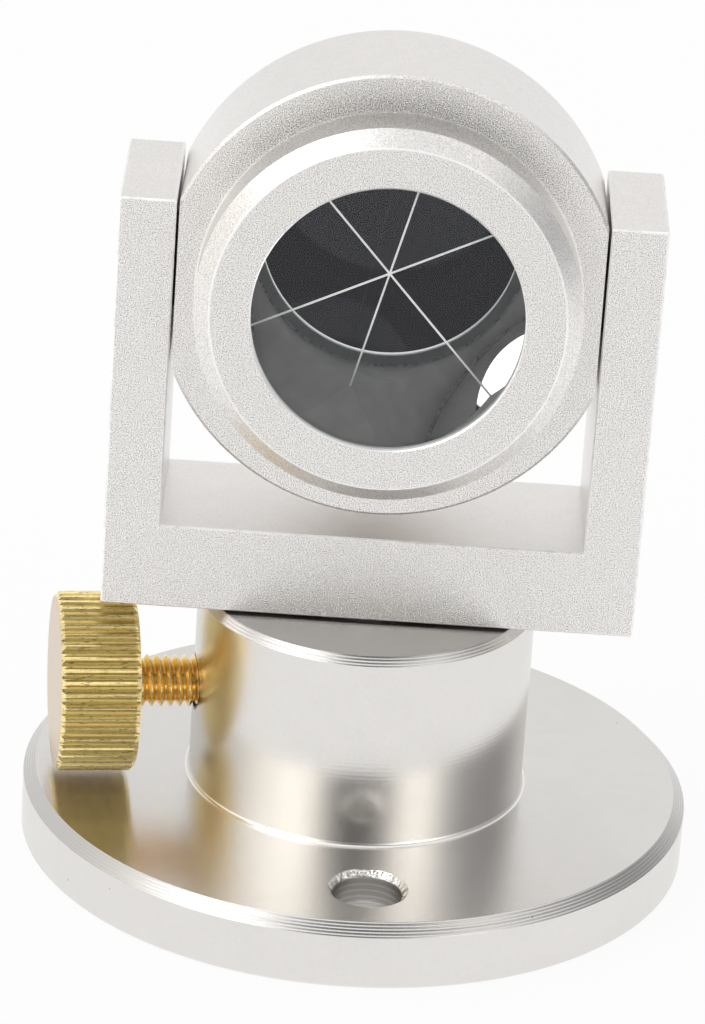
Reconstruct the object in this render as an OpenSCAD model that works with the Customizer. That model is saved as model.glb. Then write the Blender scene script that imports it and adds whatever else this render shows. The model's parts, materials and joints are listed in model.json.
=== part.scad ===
// Small surveying prism: a corner-cube glass in a turned housing that tilts between
// the arms of a yoke, and the yoke swivels on a screw-down base with a side thumbscrew.
// +Z is up, the glass looks along -Y, and the origin is the centre of the base's underside.

/* [Mounting base] */
// Diameter of the flange
flange_d = 64; // [61:0.5:80]
// Thickness of the flange
flange_h = 6.4; // [6:0.1:9]
// Chamfer round the top of the flange
flange_edge = 1.1; // [0.3:0.1:1.6]
// Chamfer round the underside of the flange
flange_under_edge = 0.3; // [0.1:0.05:0.8]
// Diameter of the boss that carries the yoke
boss_d = 32.2; // [28:0.1:36]
// Height of the boss above the flange
boss_h = 19.4; // [18.8:0.1:26]
// Chamfer round the top of the boss
boss_edge = 0.75; // [0.2:0.05:1.5]
// Radius of the fillet where the boss meets the flange
boss_fillet = 0.4; // [0.1:0.05:1]
// Diameter of the circle through the two bolt holes
bolt_circle = 48.7; // [46:0.1:52]
// Diameter of the bolt holes
bolt_hole_d = 6.4; // [4.2:0.1:6.6]
// Width of the chamfer round each bolt hole
bolt_hole_edge = 0.58; // [0.2:0.02:0.8]
// Direction of the front bolt hole, anticlockwise from +X
bolt_angle = -86; // [-100:1:-70]

/* [Swivel] */
// Diameter of the spigot that turns in the boss
spigot_d = 12; // [10.5:0.1:13]
// Depth of the waist that the clamp pad presses on
waist_depth = 0.6; // [0.3:0.1:1]
// Diameter of the spigot's stud in the yoke
stud_d = 8; // [5:0.5:9]
// Length of the spigot's stud in the yoke
stud_len = 5.5; // [4:0.1:6.5]
// Diameter of the washer between boss and yoke
swivel_washer_d = 15.4; // [14.6:0.1:15.8]
// Thickness of the washer between boss and yoke
swivel_washer_t = 0.25; // [0.2:0.05:0.6]
// Diameter of the spring washer under the boss
spring_washer_d = 18; // [16:0.1:19]
// Thickness of the spring washer under the boss
spring_washer_t = 0.6; // [0.4:0.05:0.8]
// Diameter of the retaining washer
retaining_washer_d = 19; // [18:0.1:21]
// Thickness of the retaining washer
retaining_washer_t = 1.2; // [0.8:0.1:1.4]
// Width of the gap round the retaining washer
washer_gap = 1; // [0.3:0.1:2]
// Diameter of the retaining screw
retaining_screw_d = 5; // [4:0.5:6]
// Length of the retaining screw in the spigot
retaining_screw_len = 7; // [5:0.5:8]
// Diameter of the retaining screw's head
retaining_head_d = 9; // [8:0.5:11]
// Height of the retaining screw's head
retaining_head_h = 2; // [1.6:0.1:2.2]
// Width of the hexagon socket in the retaining screw
retaining_socket_af = 3; // [2:0.5:4]
// Depth of the hexagon socket in the retaining screw
retaining_socket_depth = 1.4; // [1:0.1:3]
// Depth of the screw's head above the underside of the base
head_sink = 1.2; // [0.4:0.1:2]

/* [Thumbscrew] */
// Direction of the thumbscrew, turned from -X towards the front
thumb_angle = 8.7; // [0:0.1:20]
// Height of the thumbscrew's axis above the flange
thumb_h = 9.55; // [9.1:0.05:10]
// Diameter of the knurled head
knob_d = 17.1; // [14:0.1:17.8]
// Length of the knurled head
knob_len = 7.5; // [5:0.1:9]
// Chamfer at both ends of the knurled head
knob_edge = 0.45; // [0.2:0.05:1.2]
// Clear length of shank between the head and the boss
knob_reach = 5.9; // [4:0.1:7]
// Number of knurl teeth
knurl_teeth = 45; // [24:1:60]
// Depth of the knurl
knurl_depth = 0.42; // [0.2:0.02:0.6]
// Share of each tooth taken by its flat crest
knurl_crest = 0.24; // [0.1:0.02:0.4]
// Diameter of the threaded shank
shank_d = 5; // [4:0.1:5.4]
// Chamfer on the shank's tip
shank_edge = 0.4; // [0.1:0.05:0.6]
// Diameter of the clamp pad
pad_d = 4; // [3:0.1:4.1]
// Length of the clamp pad in front of the shank
pad_len = 4.3; // [3:0.1:5]
// Diameter of the clamp pad's stem in the shank
pad_stem_d = 2; // [1.5:0.1:2.4]
// Length of the clamp pad's stem in the shank
pad_stem_len = 2.2; // [1.5:0.1:4]

/* [Yoke] */
// Depth of the yoke from front to back
yoke_depth = 16; // [15:0.1:20]
// Thickness of each arm
arm_t = 5.25; // [4.5:0.05:7]
// Thickness of the bar under the housing
bar_t = 8.3; // [7.5:0.1:12]
// Height of the arms above the pivot axis
arm_top = 8.65; // [5:0.05:14]
// Chamfer along the yoke's edges
yoke_edge = 0.15; // [0.1:0.05:0.5]
// Clearance between the bar and the housing as it swings past
swing_gap = 1.02; // [0.5:0.02:3]

/* [Pivots] */
// Diameter of the pivot screws
pivot_screw_d = 5; // [4:0.5:6]
// Depth of each pivot screw below the arm's outer face
pivot_screw_sink = 0.3; // [0.1:0.05:0.8]
// Chamfer on both ends of the pivot screws
pivot_screw_edge = 0.25; // [0.1:0.05:0.5]
// Width of the hexagon socket in each pivot screw
pivot_socket_af = 2.5; // [2:0.1:2.8]
// Depth of the hexagon socket in each pivot screw
pivot_socket_depth = 2.2; // [1.5:0.1:3]
// Diameter of the plain pin on each pivot screw
pivot_pin_d = 3; // [2.5:0.1:3.2]
// Length of each pin in its bush
pivot_pin_reach = 3.4; // [2.5:0.1:3.6]
// Outer diameter of the pivot bushes
bush_d = 5; // [4.6:0.1:6]
// Length of the pivot bushes
bush_len = 3.7; // [3.6:0.1:4]
// Outer diameter of the friction washers
friction_washer_d = 8.8; // [7:0.1:10]
// Thickness of the friction washers
friction_washer_t = 0.6; // [0.5:0.05:0.8]
// Gap between each housing flat and its arm
side_gap = 0.25; // [0.15:0.05:0.4]

/* [Prism housing] */
// Tilt of the housing at rest, nose up
rest_tilt = 3.1; // [-15:0.1:15]
// Diameter of the barrel
barrel_d = 42.2; // [41.4:0.1:46]
// Length of the barrel
barrel_len = 15.8; // [15.4:0.1:17]
// Width of the barrel across its two flats
flats_w = 39; // [38.2:0.1:40]
// Chamfer at both ends of the barrel
barrel_edge = 0.25; // [0.1:0.05:0.8]
// Diameter of the nose
nose_d = 35.3; // [33:0.1:37]
// Length of the nose in front of the barrel
nose_len = 6.55; // [6.2:0.05:8]
// Chamfer round the nose
nose_edge = 1.5; // [0.5:0.1:1.8]
// Diameter of the opening in front of the glass
opening_d = 24.8; // [24:0.1:25.6]
// Thickness of the lip that holds the glass
lip_t = 0.7; // [0.5:0.05:1]
// Bevel round the opening
lip_edge = 0.15; // [0.05:0.05:0.3]
// Diameter of the rear bore for the retainer and the cover
rear_bore_d = 29; // [28.6:0.1:30]

/* [Glass and rear parts] */
// Diameter of the glass
glass_d = 27; // [26.4:0.1:27.6]
// Height of the glass from its face to its apex
glass_h = 20.3; // [19.6:0.1:20.6]
// Direction of one roof edge, seen from the front, anticlockwise from +X
glass_angle = 77.5; // [0:0.5:120]
// Thickness of the front seal
seal_t = 0.4; // [0.2:0.05:0.6]
// Inner diameter of the cushion and the retainer
cushion_bore_d = 18; // [16:0.5:20]
// Thickness of the cushion at its inner edge
cushion_t = 1.7; // [1.2:0.1:2]
// Thickness of the retainer ring
retainer_t = 3.2; // [2.4:0.1:3.4]
// Width of the key slot across the retainer ring
retainer_slot_w = 2; // [1.5:0.1:3]
// Depth of the key slot across the retainer ring
retainer_slot_depth = 1.1; // [0.5:0.1:1.5]
// Diameter of the rear cover
cover_d = 37; // [36:0.1:38]
// Thickness of the rear cover
cover_t = 2.2; // [1.8:0.1:2.6]
// Chamfer round the rear cover
cover_edge = 0.5; // [0.2:0.1:0.8]
// Length of the cover's spigot in the rear bore
cover_plug_len = 1; // [0.6:0.1:1.2]
// Wall of the cover's spigot
cover_plug_wall = 3; // [2:0.1:4]
// Diameter of the two key holes in the cover
key_hole_d = 1.8; // [1.2:0.1:2.4]
// Distance between the two key holes
key_hole_spacing = 24; // [18:0.5:26]
// Depth of the key holes
key_hole_depth = 1.4; // [0.8:0.1:1.6]
// Thickness of the O-ring under the rear cover
ring_d = 1; // [0.8:0.05:1.2]
// Wall between the rear bore and the O-ring's groove
ring_wall = 1; // [0.6:0.05:1.2]

/* [Fits] */
// Radial clearance of a turning fit
run_fit = 0.03; // [0.02:0.005:0.08]
// Radial clearance of a fixed or threaded fit
seat_fit = 0.03; // [0.02:0.005:0.06]
// Radial clearance round loose washers, rings and the glass
loose_fit = 0.1; // [0.05:0.01:0.2]
// Clearance between parts that must not touch
free_gap = 0.1; // [0.05:0.01:0.2]

/* [Hidden] */
$fn = 96;

// Facets of the widest rims, and of small pins and holes
rim_fn = 180;
pin_fn = 48;
// Overcut that keeps a cut from ending on a face
cut = 1;

// Heights above the underside of the base
boss_top = flange_h + boss_h;
yoke_z = boss_top + swivel_washer_t;
thumb_z = flange_h + thumb_h;
head_z = head_sink;
retaining_washer_z = head_z + retaining_head_h;
spigot_end = retaining_washer_z + retaining_washer_t;
recess_depth = spigot_end + spring_washer_t;
recess_d = retaining_washer_d + 2 * washer_gap;

// Distances along the thumbscrew, outwards from the swivel axis
boss_r = boss_d / 2;
waist_r = spigot_d / 2 - waist_depth;
waist_h = pad_d + 2 * waist_depth + 4 * free_gap;
pad_tip = waist_r + free_gap;
shank_tip = pad_tip + pad_len;
knob_start = boss_r + knob_reach;
knob_end = knob_start + knob_len;

// Distances along the housing's axis, forwards from the pivot
barrel_front = barrel_len / 2;
barrel_rear = -barrel_len / 2;
nose_front = barrel_front + nose_len;
lip_rear = nose_front - lip_t;
glass_front = lip_rear - seal_t;
glass_apex = glass_front - glass_h;
glass_bore_d = glass_d + 2 * loose_fit;
// The roof edges of the glass rise from its apex at this slope
edge_slope = 1 / sqrt(2);
cushion_front = glass_apex + edge_slope * cushion_bore_d / 2 - free_gap;
cushion_rear = cushion_front - cushion_t;
retainer_rear = cushion_rear - retainer_t;
rear_bore_fit_d = rear_bore_d - 2 * seat_fit;
groove_inner_d = rear_bore_d + 2 * ring_wall;
groove_w = ring_d + free_gap;

// Distances from the middle of the yoke along X
arm_inner = flats_w / 2 + side_gap;
yoke_w = 2 * (arm_inner + arm_t);
washer_floor = arm_inner - friction_washer_t;
pivot_screw_start = arm_inner + free_gap;
pivot_screw_end = yoke_w / 2 - pivot_screw_sink;
pivot_pin_start = washer_floor - pivot_pin_reach;

// The housing's widest swing sets the height of the pivot over the bar
swing_r = max(norm([barrel_d / 2, barrel_front]), norm([nose_d / 2, nose_front - nose_edge]),
    norm([cover_d / 2, barrel_front + cover_t]));
pivot_h = bar_t + swing_r + swing_gap;
pivot_z = yoke_z + pivot_h;
yoke_h = pivot_h + arm_top;

// A flat ring between two heights
module ring(d, bore, z0, z1) {
    translate([0, 0, z0])
        difference() {
            cylinder(d = d, h = z1 - z0);
            translate([0, 0, -cut]) cylinder(d = bore, h = z1 - z0 + 2 * cut);
        }
}

// A round bar between two heights, with a chamfer at each end
module chamfered_bar(d, z0, z1, low_edge, high_edge) {
    rotate_extrude()
        polygon([[0, z0], [d / 2 - low_edge, z0], [d / 2, z0 + low_edge],
            [d / 2, z1 - high_edge], [d / 2 - high_edge, z1], [0, z1]]);
}

// A blind hexagon socket whose mouth is at height z
module socket(across_flats, z, depth, up) {
    translate([0, 0, up ? z - depth : z - cut])
        cylinder(d = across_flats / cos(30), h = depth + cut, $fn = 6);
}

// What is drawn along +Z points outwards along the thumbscrew's axis
module along_thumbscrew() {
    translate([0, 0, thumb_z]) rotate([0, 0, 180 + thumb_angle]) rotate([0, 90, 0]) children();
}

// What is drawn along +Z points along the housing's axis, towards its nose
module along_housing() {
    translate([0, 0, pivot_z]) rotate([-rest_tilt, 0, 0]) rotate([90, 0, 0]) children();
}

// What is drawn along +Z points out through the left arm (-1) or the right arm (1)
module along_pivot(side, tilt = 0) {
    translate([0, 0, pivot_z]) rotate([-tilt, 0, 0]) rotate([0, side * 90, 0]) children();
}

module bolt_holes() {
    for (turn = [0, 180])
        rotate([0, 0, bolt_angle + turn]) translate([bolt_circle / 2, 0, 0]) {
            translate([0, 0, -cut]) cylinder(d = bolt_hole_d, h = flange_h + 2 * cut, $fn = pin_fn);
            translate([0, 0, flange_h - bolt_hole_edge])
                cylinder(d1 = bolt_hole_d, d2 = bolt_hole_d + 2 * (bolt_hole_edge + cut),
                    h = bolt_hole_edge + cut, $fn = pin_fn);
        }
}

module base_profile() {
    fillet = [for (a = [0:15:90])
        [boss_r + boss_fillet * (1 - sin(a)), flange_h + boss_fillet * (1 - cos(a))]];
    polygon(concat(
        [[0, 0], [flange_d / 2 - flange_under_edge, 0], [flange_d / 2, flange_under_edge],
            [flange_d / 2, flange_h - flange_edge], [flange_d / 2 - flange_edge, flange_h]],
        fillet,
        [[boss_r, boss_top - boss_edge], [boss_r - boss_edge, boss_top], [0, boss_top]]));
}

module mounting_base() {
    color("gainsboro")
        difference() {
            rotate_extrude($fn = rim_fn) base_profile();
            bolt_holes();
            translate([0, 0, -cut]) cylinder(d = spigot_d + 2 * run_fit, h = boss_top + 2 * cut);
            translate([0, 0, -cut]) cylinder(d = recess_d, h = recess_depth + cut);
            along_thumbscrew() cylinder(d = shank_d + 2 * seat_fit, h = boss_d, $fn = pin_fn);
        }
}

// Three points a tooth: two on its flat crest, and one at the bottom of the groove beside it
function knurl_points(r, teeth, depth) = [
    for (i = [0:teeth - 1])
        for (corner = [[-knurl_crest / 2, r], [knurl_crest / 2, r], [1 / 2, r - depth]])
            let (a = (i + corner[0]) * 360 / teeth) corner[1] * [cos(a), sin(a)]
];

module knurled_head() {
    // The turned blank is a little wider than the crests, so only its chamfers cut them
    spare = knob_edge / 4;
    intersection() {
        translate([0, 0, knob_start]) linear_extrude(knob_len)
            polygon(knurl_points(knob_d / 2, knurl_teeth, knurl_depth));
        chamfered_bar(knob_d + 2 * spare, knob_start, knob_end, knob_edge + spare, knob_edge + spare);
    }
}

module thumbscrew() {
    color("goldenrod") along_thumbscrew()
        difference() {
            union() {
                knurled_head();
                chamfered_bar(shank_d, shank_tip, knob_start + knob_len / 2, shank_edge, 0);
            }
            translate([0, 0, shank_tip - cut])
                cylinder(d = pad_stem_d + 2 * run_fit, h = cut + pad_stem_len + free_gap, $fn = pin_fn);
        }
}

module clamp_pad() {
    color("darkkhaki") along_thumbscrew() {
        translate([0, 0, pad_tip]) cylinder(d = pad_d, h = pad_len, $fn = pin_fn);
        translate([0, 0, shank_tip - cut]) cylinder(d = pad_stem_d, h = pad_stem_len + cut, $fn = pin_fn);
    }
}

module swivel_washer() {
    color("dimgray") ring(swivel_washer_d, spigot_d + 2 * loose_fit, boss_top, yoke_z);
}

// The U of the yoke seen from the front, with its outer corners chamfered
function yoke_outline(w, inner, e) = [
    [-w + e, 0], [w - e, 0], [w, e], [w, yoke_h - e], [w - e, yoke_h],
    [inner + e, yoke_h], [inner, yoke_h - e], [inner, bar_t],
    [-inner, bar_t], [-inner, yoke_h - e], [-inner - e, yoke_h],
    [-w + e, yoke_h], [-w, yoke_h - e], [-w, e]
];

// A square bar on its corner, along the outline's edge from a to b, that chamfers that edge
module edge_cutter(a, b, e) {
    run = b - a;
    side = e * sqrt(2);
    translate([a[0], 0, a[1]]) rotate([0, -atan2(run[1], run[0]), 0]) rotate([45, 0, 0])
        translate([-e, -side / 2, -side / 2]) cube([norm(run) + 2 * e, side, side]);
}

module yoke_body() {
    outline = yoke_outline(yoke_w / 2, arm_inner, yoke_edge);
    difference() {
        translate([0, yoke_depth / 2, 0]) rotate([90, 0, 0]) linear_extrude(yoke_depth) polygon(outline);
        for (y = [-yoke_depth / 2, yoke_depth / 2])
            translate([0, y, 0])
                for (k = [0:len(outline) - 1])
                    edge_cutter(outline[k], outline[(k + 1) % len(outline)], yoke_edge);
    }
}

module yoke() {
    color("lightgray")
        difference() {
            translate([0, 0, yoke_z])
                difference() {
                    yoke_body();
                    translate([0, 0, -cut])
                        cylinder(d = stud_d + 2 * seat_fit, h = cut + stud_len + free_gap);
                }
            for (side = [-1, 1])
                along_pivot(side) translate([0, 0, arm_inner - cut])
                    cylinder(d = pivot_screw_d + 2 * seat_fit, h = arm_t + 2 * cut, $fn = pin_fn);
        }
}

module spigot() {
    color("silver")
        difference() {
            rotate_extrude()
                polygon([[0, spigot_end], [spigot_d / 2, spigot_end],
                    [spigot_d / 2, thumb_z - waist_h / 2], [waist_r, thumb_z - waist_h / 2 + waist_depth],
                    [waist_r, thumb_z + waist_h / 2 - waist_depth], [spigot_d / 2, thumb_z + waist_h / 2],
                    [spigot_d / 2, yoke_z], [stud_d / 2, yoke_z],
                    [stud_d / 2, yoke_z + stud_len], [0, yoke_z + stud_len]]);
            translate([0, 0, spigot_end - cut])
                cylinder(d = retaining_screw_d + 2 * seat_fit, h = cut + retaining_screw_len + free_gap,
                    $fn = pin_fn);
        }
}

module spring_washer() {
    color("dimgray") ring(spring_washer_d, spigot_d + 2 * loose_fit, spigot_end, recess_depth);
}

module retaining_washer() {
    color("silver")
        ring(retaining_washer_d, retaining_screw_d + 2 * loose_fit, retaining_washer_z, spigot_end);
}

module retaining_screw() {
    color("darkgray")
        difference() {
            union() {
                chamfered_bar(retaining_head_d, head_z, retaining_washer_z, retaining_head_h / 4, 0);
                translate([0, 0, retaining_washer_z - cut])
                    cylinder(d = retaining_screw_d, h = cut + retaining_washer_t + retaining_screw_len,
                        $fn = pin_fn);
            }
            socket(retaining_socket_af, head_z, retaining_socket_depth, up = false);
        }
}

module pivot_screw(side) {
    color("dimgray") along_pivot(side)
        difference() {
            union() {
                chamfered_bar(pivot_screw_d, pivot_screw_start, pivot_screw_end, pivot_screw_edge,
                    pivot_screw_edge);
                translate([0, 0, pivot_pin_start])
                    cylinder(d = pivot_pin_d, h = pivot_screw_start + cut - pivot_pin_start, $fn = pin_fn);
            }
            socket(pivot_socket_af, pivot_screw_end, pivot_socket_depth, up = true);
        }
}

module friction_washer(side) {
    color("black") along_pivot(side, rest_tilt)
        ring(friction_washer_d, pivot_pin_d + 2 * loose_fit, washer_floor, arm_inner);
}

module pivot_bush(side) {
    color("peru") along_pivot(side, rest_tilt)
        ring(bush_d, pivot_pin_d + 2 * run_fit, washer_floor - bush_len, washer_floor);
}

module housing_body() {
    rotate_extrude($fn = rim_fn)
        polygon([[0, barrel_rear], [barrel_d / 2 - barrel_edge, barrel_rear],
            [barrel_d / 2, barrel_rear + barrel_edge], [barrel_d / 2, barrel_front - barrel_edge],
            [barrel_d / 2 - barrel_edge, barrel_front], [nose_d / 2, barrel_front],
            [nose_d / 2, nose_front - nose_edge], [nose_d / 2 - nose_edge, nose_front],
            [0, nose_front]]);
}

module housing_bores() {
    translate([0, 0, lip_rear - cut]) cylinder(d = opening_d, h = lip_t + 2 * cut);
    translate([0, 0, nose_front - lip_edge])
        cylinder(d1 = opening_d, d2 = opening_d + 2 * (lip_edge + cut), h = lip_edge + cut);
    translate([0, 0, barrel_rear]) cylinder(d = glass_bore_d, h = lip_rear - barrel_rear);
    translate([0, 0, barrel_rear - cut]) cylinder(d = rear_bore_d, h = cut + cushion_rear - barrel_rear);
    ring(groove_inner_d + 2 * groove_w, groove_inner_d, barrel_rear - cut, barrel_rear + groove_w);
}

module prism_housing() {
    color("lightgray")
        difference() {
            along_housing()
                difference() {
                    housing_body();
                    housing_bores();
                    for (side = [-1, 1])
                        translate([side * (flats_w + barrel_d) / 2, 0, 0])
                            cube([barrel_d, 2 * barrel_d, barrel_len + 2 * cut], center = true);
                }
            for (side = [-1, 1])
                along_pivot(side, rest_tilt) {
                    translate([0, 0, washer_floor])
                        cylinder(d = friction_washer_d + 2 * loose_fit, h = friction_washer_t + cut);
                    translate([0, 0, washer_floor - bush_len - free_gap])
                        cylinder(d = bush_d + 2 * seat_fit, h = bush_len + free_gap + cut, $fn = pin_fn);
                }
        }
}

// A cube on one corner at the origin, with its long diagonal along +Z and an edge over glass_angle
module cube_on_corner(side) {
    rotate([0, 0, 90 + glass_angle]) rotate([atan(sqrt(2)), 0, 0]) rotate([0, 0, 45]) cube(side);
}

module corner_prism() {
    color("lightblue", 0.5) along_housing() translate([0, 0, glass_apex])
        intersection() {
            cylinder(d = glass_d, h = glass_h);
            cube_on_corner(2 * glass_h);
        }
}

module front_seal() {
    color("black") along_housing() ring(glass_d, opening_d, glass_front, lip_rear);
}

module glass_cushion() {
    inner = cushion_bore_d / 2;
    outer = glass_d / 2;
    color("black") along_housing()
        rotate_extrude()
            polygon([[inner, cushion_rear], [outer, cushion_rear],
                [outer, cushion_front + (outer - inner) * edge_slope], [inner, cushion_front]]);
}

module glass_retainer() {
    color("dimgray") along_housing()
        difference() {
            ring(rear_bore_fit_d, cushion_bore_d, retainer_rear, cushion_rear);
            translate([-rear_bore_d, -retainer_slot_w / 2, retainer_rear - cut])
                cube([2 * rear_bore_d, retainer_slot_w, cut + retainer_slot_depth]);
        }
}

module rear_cover() {
    color("lightgray") along_housing()
        difference() {
            union() {
                chamfered_bar(cover_d, barrel_rear - cover_t, barrel_rear, cover_edge, 0);
                ring(rear_bore_fit_d, rear_bore_fit_d - 2 * cover_plug_wall, barrel_rear - cut,
                    barrel_rear + cover_plug_len);
            }
            for (side = [-1, 1])
                translate([side * key_hole_spacing / 2, 0, barrel_rear - cover_t - cut])
                    cylinder(d = key_hole_d, h = key_hole_depth + cut, $fn = pin_fn);
        }
}

module rear_cover_seal() {
    color("black") along_housing() translate([0, 0, barrel_rear + groove_w / 2])
        rotate_extrude() translate([groove_inner_d / 2 + groove_w / 2, 0]) circle(d = ring_d, $fn = pin_fn);
}

mounting_base();
thumbscrew();
clamp_pad();
swivel_washer();
yoke();
spigot();
spring_washer();
retaining_washer();
retaining_screw();
pivot_screw(-1);  // pivot_screw_left
pivot_screw(1);  // pivot_screw_right
friction_washer(-1);  // friction_washer_left
friction_washer(1);  // friction_washer_right
pivot_bush(-1);  // pivot_bush_left
pivot_bush(1);  // pivot_bush_right
prism_housing();
corner_prism();
front_seal();
glass_cushion();
glass_retainer();
rear_cover();
rear_cover_seal();
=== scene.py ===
"""A small surveying prism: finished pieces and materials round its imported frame."""
import json
import math

import bmesh
import bpy
from mathutils import Matrix, Vector


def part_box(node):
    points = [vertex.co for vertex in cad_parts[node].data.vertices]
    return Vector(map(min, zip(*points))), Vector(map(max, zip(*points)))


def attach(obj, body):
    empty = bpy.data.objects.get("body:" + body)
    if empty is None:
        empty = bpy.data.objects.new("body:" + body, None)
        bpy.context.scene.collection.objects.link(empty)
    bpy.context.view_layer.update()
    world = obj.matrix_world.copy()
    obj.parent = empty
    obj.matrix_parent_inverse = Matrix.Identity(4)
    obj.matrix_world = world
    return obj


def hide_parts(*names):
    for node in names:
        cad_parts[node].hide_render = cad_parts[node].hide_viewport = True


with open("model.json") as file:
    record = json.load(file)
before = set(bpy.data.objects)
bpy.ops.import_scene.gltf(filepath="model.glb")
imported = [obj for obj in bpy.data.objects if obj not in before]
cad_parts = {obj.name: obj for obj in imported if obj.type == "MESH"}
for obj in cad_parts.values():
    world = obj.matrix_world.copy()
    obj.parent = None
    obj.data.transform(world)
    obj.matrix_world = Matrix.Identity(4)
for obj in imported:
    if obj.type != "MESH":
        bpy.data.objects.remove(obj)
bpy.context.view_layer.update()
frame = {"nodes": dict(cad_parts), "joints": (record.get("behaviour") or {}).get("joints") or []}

bl_info = {
    "name": "Surveying Prism Finish",
    "version": (1, 0, 0),
    "blender": (4, 5, 0),
    "location": "3D View > Sidebar > Prism",
    "description": "Finished pieces, materials and stage of a small surveying prism",
    "category": "Object",
}

MM = 0.001
JOINTS = {joint["name"]: joint for joint in frame["joints"]}
PIVOT = Vector(JOINTS["prism_tilt"]["pos_m"])
SCREW_AXIS = Vector(JOINTS["thumbscrew_turn"]["axis"])
SCREW_ORIGIN = Vector(JOINTS["thumbscrew_turn"]["pos_m"])
REST_TILT = math.radians(3.1)
HOUSING_AXIS = Vector((0.0, -math.cos(REST_TILT), math.sin(REST_TILT)))


def length(name, millimetres, text):
    """A length property, given in millimetres and kept in metres."""
    return bpy.props.FloatProperty(
        name=name, default=millimetres * MM, unit="LENGTH", precision=5, description=text)


def colour(name, value, text):
    """A colour property in linear light."""
    return bpy.props.FloatVectorProperty(
        name=name, default=value, subtype="COLOR", size=3, min=0.0, max=1.0, description=text)


def number(name, value, text):
    """A plain number property."""
    return bpy.props.FloatProperty(name=name, default=value, description=text)


class StageSettings(bpy.types.PropertyGroup):
    azimuth: bpy.props.FloatProperty(
        name="Azimuth", default=math.radians(-0.341), subtype="ANGLE",
        description="Turn of the camera round the object")
    elevation: bpy.props.FloatProperty(
        name="Elevation", default=math.radians(23.622), subtype="ANGLE",
        description="Height of the camera above the horizon")
    roll: bpy.props.FloatProperty(
        name="Roll", default=math.radians(3.921), subtype="ANGLE",
        description="Lean of the camera, which leans the object to the right")
    distance: length("Distance", 476.65, "Distance from the camera to its target")
    target_height: length("Target height", 33.485, "Height of the point that the camera looks at")
    target_shift: length("Target shift", -1.933, "Sideways place of that point, to the right")
    lens: number("Lens", 177.124, "Focal length in millimetres on a 36 mm sensor")
    floor_tint: colour("Floor", (0.86, 0.86, 0.855), "Colour of the floor")
    floor_glow: number("Floor glow", 0.91, "Share of white in the floor, which thins its shadow")
    key_power: number("Key light", 4.5, "Power in watts of the softbox at the upper left")


class MetalSettings(bpy.types.PropertyGroup):
    blasted: colour("Blasted aluminium", (0.86, 0.835, 0.815), "Colour of the bead-blasted pieces")
    turned: colour("Turned aluminium", (0.775, 0.755, 0.73), "Colour of the turned base")
    brass: colour("Brass", (1.0, 0.83, 0.42), "Colour of the thumbscrew's crests")
    # The grooves' colour is partly grime and partly painted shade
    brass_groove_grime_and_shade: colour("Dull brass", (0.67, 0.515, 0.175), "Colour of the head's grooves")
    # The thread's roots are painted darker, as painted shade
    brass_root_shade: colour("Thread brass", (0.95, 0.62, 0.19), "Colour of the thread's roots")
    # The turned end's tint is partly its own tone and partly painted light from the key light
    brass_face: colour("Faced brass", (0.65, 0.485, 0.315), "Colour of the head's turned end")
    steel: colour("Steel", (0.58, 0.57, 0.56), "Colour of the plain steel pieces")
    bronze: colour("Bronze", (0.52, 0.34, 0.18), "Colour of the pivot bushes")
    grain: length("Grain", 0.10077, "Size of the blasted grain")
    grain_depth: length("Grain depth", 0.055, "Depth of the blasted grain")


class ScrewSettings(bpy.types.PropertyGroup):
    head_diameter: length("Head diameter", 17.1, "Diameter over the crests of the knurl")
    head_start: length("Head start", 22.0, "Distance from the swivel axis to the head's inner face")
    head_length: length("Head length", 7.5, "Length of the knurled head")
    head_edge: length("Head chamfer", 0.45, "Chamfer at both ends of the head")
    teeth: bpy.props.IntProperty(name="Teeth", default=45, description="Number of knurl teeth")
    knurl_depth: length("Knurl depth", 0.42, "Depth of the grooves between the teeth")
    thread_diameter: length("Thread diameter", 5.0, "Diameter over the crests of the thread")
    thread_pitch: length("Thread pitch", 0.9, "Distance between two crests of the thread")
    thread_depth: length("Thread depth", 0.5, "Depth of the thread")
    thread_phase: length("Thread phase", 0.28, "Shift of the crests towards the swivel axis")
    tip: length("Tip", 9.8, "Distance from the swivel axis to the screw's tip")


class GlassSettings(bpy.types.PropertyGroup):
    diameter: length("Diameter", 27.0, "Diameter of the glass")
    height: length("Height", 20.3, "Height from the front face to the corner")
    front: length("Front face", 13.35, "Distance from the pivot axis forwards to the front face")
    roof_edge: length("Roof edge", 0.24, "Width of the ground strip along each roof edge")
    rim_edge: length("Rim edge", 0.2, "Width of the ground bevel round the front face")
    turn: bpy.props.FloatProperty(
        name="Turn", default=math.radians(77.5), subtype="ANGLE",
        description="Direction of one roof edge, seen from the front")
    silver: colour("Silvering", (0.93, 0.935, 0.94), "What the silvered faces give back")
    ground: colour("Ground skirt", (0.54, 0.54, 0.53), "Colour of the ground side of the glass")
    # This colour also feeds the ground edges' painted glow
    edge: colour("Ground edge", (0.80, 0.80, 0.78), "Colour of the ground roof edges")
    rim: colour("Ground rim", (0.43, 0.44, 0.44), "Colour of the ground bevel round the front face")


def socket_of(tree, value, target):
    """Links a socket to the target input, or sets a plain value on it."""
    if isinstance(value, bpy.types.NodeSocket):
        tree.links.new(value, target)
    else:
        target.default_value = value


def sum_node(tree, operation, first, second=0.0, third=None):
    """A Math node's output."""
    node = tree.nodes.new("ShaderNodeMath")
    node.operation = operation
    socket_of(tree, first, node.inputs[0])
    socket_of(tree, second, node.inputs[1])
    if third is not None:
        socket_of(tree, third, node.inputs[2])
    return node.outputs[0]


def vector_node(tree, operation, first, second):
    """A Vector Math node, for its Vector or Value output."""
    node = tree.nodes.new("ShaderNodeVectorMath")
    node.operation = operation
    socket_of(tree, first, node.inputs[0])
    socket_of(tree, second, node.inputs["Scale"] if operation == "SCALE" else node.inputs[1])
    return node


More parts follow.
